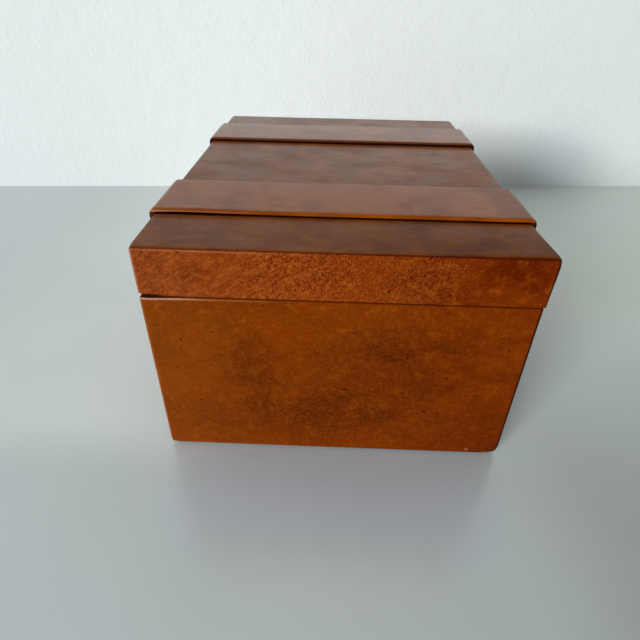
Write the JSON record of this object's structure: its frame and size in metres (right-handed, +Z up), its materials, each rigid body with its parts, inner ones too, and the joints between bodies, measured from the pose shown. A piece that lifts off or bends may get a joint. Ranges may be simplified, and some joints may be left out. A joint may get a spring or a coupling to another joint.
{
  "type": "stationery box",
  "caption": "Leather-covered box for papers with a shallow hinged lid, wide leather straps across the lid and a suede-lined well.",
  "frame": {"origin": "middle of the underside, on the surface that the box stands on", "axes": "+Z up, +X along the length of the box, -Y towards the side that opens, +Y towards the hinges"},
  "size_m": [0.272, 0.2054, 0.1372],
  "materials": {
    "box_leather": "aged tan leather, waxed, worn at the corners",
    "strap_leather": "thick bridle leather with burnished edges",
    "board": "plain plywood board, unfinished",
    "suede": "brown suede lining, matt",
    "card": "grey millboard",
    "felt": "dark brown felt, matt",
    "brass": "satin brass, slightly tarnished"
  },
  "bodies": {
    "box_body": {"base_felt": "felt", "base_infill": "card", "body_back_lining": "suede", "body_back_wall": "board", "body_base_board": "board", "body_floor_pad": "suede", "body_front_lining": "suede", "body_front_wall": "board", "body_leather": "box_leather", "body_left_lining": "suede", "body_left_wall": "board", "body_right_lining": "suede", "body_right_wall": "board", "left_hinge_body_leaf": "brass", "left_hinge_body_screws": "brass", "left_hinge_pin": "brass", "right_hinge_body_leaf": "brass", "right_hinge_body_screws": "brass", "right_hinge_pin": "brass"},
    "box_lid": {"left_hinge_lid_leaf": "brass", "left_hinge_lid_screws": "brass", "left_strap": "strap_leather", "lid_back_lining": "suede", "lid_back_wall": "board", "lid_ceiling_pad": "suede", "lid_front_lining": "suede", "lid_front_wall": "board", "lid_leather": "box_leather", "lid_left_lining": "suede", "lid_left_wall": "board", "lid_right_lining": "suede", "lid_right_wall": "board", "lid_top_board": "board", "right_hinge_lid_leaf": "brass", "right_hinge_lid_screws": "brass", "right_strap": "strap_leather"}
  },
  "joints": [
    {"name": "lid_hinge", "type": "hinge", "parent": "box_body", "child": "box_lid", "pos_m": [0, 0.1007, 0.10765], "axis": [-1, 0, 0], "range_deg": [0, 100]}
  ]
}
